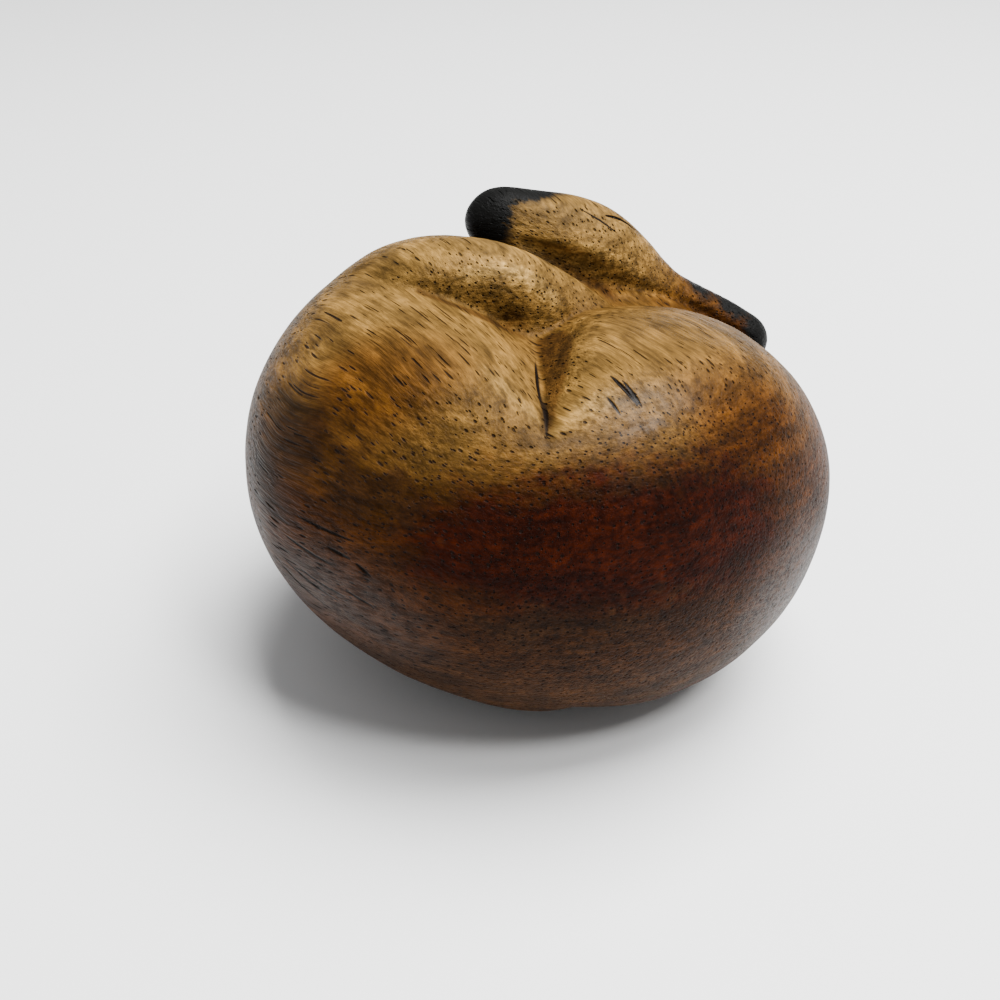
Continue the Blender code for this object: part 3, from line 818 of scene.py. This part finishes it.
def grown_colour(s, space, end_grain):
    """Growth layers from dark bottom to golden top, with the red heart, dark clouds and mottling."""
    height = s.add("ShaderNodeSeparateXYZ", {0: space}).outputs[1]
    drift = s.pattern(space, LAYER_DRIFT_SIZE, 3.0, 0.55)
    layer = s.math('ADD', height, s.swing(drift, LAYER_DRIFT))
    ground = s.colours(s.ramp(layer, *LAYER_HEIGHTS), WOOD_TONES)
    patch = s.pattern(space, PATCH_SIZE, 4.0, 0.62)
    heart = s.ramp(s.math('ADD', s.mark("heart"), s.swing(patch, HEART_FRAY)), *HEART_EDGE)
    ground = s.blend(heart, ground, HEART_COLOUR)
    cloud = s.ramp(s.math('ADD', s.mark("cloud"), s.swing(patch, CLOUD_FRAY)), *CLOUD_EDGE)
    ground = s.blend(cloud, ground, CLOUD_COLOUR)
    ground = s.tinted(s.ramp(s.mark("amber"), 0.0, 1.0), ground, AMBER_TINT)
    flame = s.pattern(space, FLAME_SIZE, 3.0, 0.6)
    fleck = s.pattern(space, FLECK_SIZE, 3.0, 0.65)
    shade = s.math('MULTIPLY', s.ramp(patch, *PATCH_SHADES), s.ramp(flame, *FLAME_SHADES))
    mottle = s.math('MULTIPLY', s.ramp(fleck, *FLECK_SHADES), s.ramp(end_grain, *FLECKS_BY_GRAIN))
    return s.scaled(ground, s.math('MULTIPLY', shade, s.math('ADD', mottle, 1.0)))


def open_pores(s, space, end_grain):
    """How dark the pores are, from nought to one, and their relief, which is below nought."""
    vessels = vessels_group()
    dark, relief = 0.0, 0.0
    for kind in (DOTS, DASHES, LINES):
        pores = s.group(vessels, Space=s.vector('ADD', space, kind["shift"]), Spacing=kind["spacing"],
                        Length=kind["length"], Width=kind["width"],
                        Share=s.ramp(end_grain, *kind["share"]))
        dark = s.math('MAXIMUM', dark, s.math('MULTIPLY', pores["Pore"], kind["dark"]))
        relief = s.math('SUBTRACT', relief, s.math('MULTIPLY', pores["Depth"], kind["deep"]))
    return dark, relief


def handled(s, colour, streaks):
    """The colour with painted highlights on the lips, painted shade in hollows, creases and cuts, and burnt
    tips, and the strength of the painted shade.
    """
    uneven = s.swing(streaks, FRAY)
    # Painted highlights on the lips of the band, the head's ridge and the crease
    painted_highlight = s.ramp(s.math('ADD', s.mark("painted_highlight"), uneven), *PAINTED_HIGHLIGHT_EDGE)
    colour = s.tinted(painted_highlight, colour, PAINTED_HIGHLIGHT_TINT)
    # Painted shade in the hollows
    hollow = s.ramp(s.mark("hollow"), *HOLLOW_EDGE)
    # Painted shade along the crease, the fold and the groove of the head, joined with that of the hollows
    painted_shade = s.ramp(s.math('ADD', s.mark("painted_shade"), uneven), *PAINTED_SHADE_EDGE)
    painted_shade = s.math('MULTIPLY', s.math('MAXIMUM', hollow, painted_shade), s.math('SUBTRACT', 1.0, painted_highlight))
    colour = s.tinted(painted_shade, colour, PAINTED_SHADE_TINT)
    # Painted shade in the fine cuts
    colour = s.blend(s.ramp(s.mark("cut"), *CUT_RIM), colour, CUT_SHADE_COLOUR)
    char = s.ramp(s.math('ADD', s.mark("burn"), uneven), *CHAR_EDGE)
    return s.blend(char, colour, CHAR_COLOUR), painted_shade


def hardwood():
    """Oiled tropical hardwood with golden outer wood, a red-brown heart and burnt tips."""
    material = bpy.data.materials.new("oiled hardwood")
    material.use_nodes = True
    s = Shader(material.node_tree)
    surface = material.node_tree.nodes["Principled BSDF"].inputs
    wood = s.group(wood_space_group())
    space, end_grain = wood["Space"], wood["End Grain"]
    fibres = s.pattern(space, FIBRE_SIZE, 3.0, 0.62)
    streaks = s.pattern(space, STREAK_SIZE, 3.0, 0.6)
    streaky = s.math('MULTIPLY', s.ramp(fibres, *FIBRE_SHADES), s.ramp(streaks, *STREAK_SHADES))
    shade = s.math('MULTIPLY', s.math('SUBTRACT', streaky, 1.0), s.ramp(end_grain, *STREAKS_BY_GRAIN))
    grain = s.scaled(grown_colour(s, space, end_grain), s.math('ADD', shade, 1.0))
    pore, relief = open_pores(s, space, end_grain)
    colour, painted_shade = handled(s, s.blend(pore, grain, PORE_COLOUR), streaks)
    s.feed(surface["Base Color"], colour)

    rough = s.ramp(fibres, *OIL_ROUGHNESS)
    for dull in (pore, painted_shade):
        rough = s.math('ADD', rough, s.math('MULTIPLY', dull, DULLING))
    s.feed(surface["Roughness"], rough)
    polish = s.math('MULTIPLY', s.ramp(s.mark("polish"), 0.0, 1.0), s.ramp(streaks, *POLISH_BY_STREAKS))
    s.feed(surface["Coat Weight"], polish)
    surface["Coat Roughness"].default_value = POLISH_ROUGHNESS
    surface["IOR"].default_value = OIL_IOR
    surface["Specular IOR Level"].default_value = SPECULAR

    relief = s.math('ADD', relief, s.math('MULTIPLY', streaky, GRAIN_RELIEF))
    bump = s.add("ShaderNodeBump", {"Strength": 1.0, "Distance": RELIEF * SHARE, "Height": relief})
    s.feed(surface["Normal"], bump.outputs[0])
    return material


def plain(name, colour, roughness):
    """A material of one colour."""
    material = bpy.data.materials.new(name)
    material.use_nodes = True
    surface = material.node_tree.nodes["Principled BSDF"].inputs
    surface["Base Color"].default_value = colour
    surface["Roughness"].default_value = roughness
    return material


def softbox(name, direction, distance, size, power):
    """A square soft light that points at the figure."""
    data = bpy.data.lights.new(name, 'AREA')
    data.size = size
    data.energy = power
    lamp = bpy.data.objects.new(name, data)
    aim = Vector(direction).normalized()
    lamp.location = aim * distance + Vector((0.0, 0.0, AIM_HEIGHT))
    lamp.rotation_mode = 'QUATERNION'
    lamp.rotation_quaternion = aim.to_track_quat('Z', 'Y')
    bpy.context.scene.collection.objects.link(lamp)


def studio():
    """The pale room's even light and the two lamps of the photo."""
    world = bpy.data.worlds.new("pale room")
    world.use_nodes = True
    background = world.node_tree.nodes["Background"]
    background.inputs["Color"].default_value = ROOM_COLOUR
    background.inputs["Strength"].default_value = ROOM_LIGHT
    bpy.context.scene.world = world
    softbox("overhead lamp", KEY_FROM, KEY_DISTANCE, KEY_SIZE, KEY_POWER)
    softbox("side lamp", SIDE_FROM, SIDE_DISTANCE, SIDE_SIZE, SIDE_POWER)


def photo_camera():
    """The camera, where the photo was taken from."""
    data = bpy.data.cameras.new("photo camera")
    data.lens = LENS
    data.sensor_width = SENSOR_WIDTH
    camera = bpy.data.objects.new("photo camera", data)
    camera.location = CAMERA_AT
    camera.rotation_euler = (math.radians(90.0 - CAMERA_DOWN), 0.0, 0.0)
    bpy.context.scene.collection.objects.link(camera)
    bpy.context.scene.camera = camera


def pale_floor():
    """The plain surface that the figure rests on."""
    bpy.ops.mesh.primitive_plane_add(size=FLOOR_SIZE, location=(0.0, 0.0, 0.0))
    floor = bpy.context.object
    floor.name = "pale floor"
    floor.data.materials.append(plain("pale floor", FLOOR_COLOUR, FLOOR_ROUGHNESS))


def carved_cat():
    """The figure in its hardwood, in place of the plain solid."""
    cat = bpy.data.objects.new("cat", fine_mesh())
    bpy.context.scene.collection.objects.link(cat)
    cat.data.materials.clear()
    cat.data.materials.append(hardwood())
    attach(cat, "root")
    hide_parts(NODE)


def main():
    """The figure on its floor, in the photo's light."""
    photo_camera()
    carved_cat()
    pale_floor()
    studio()


main()
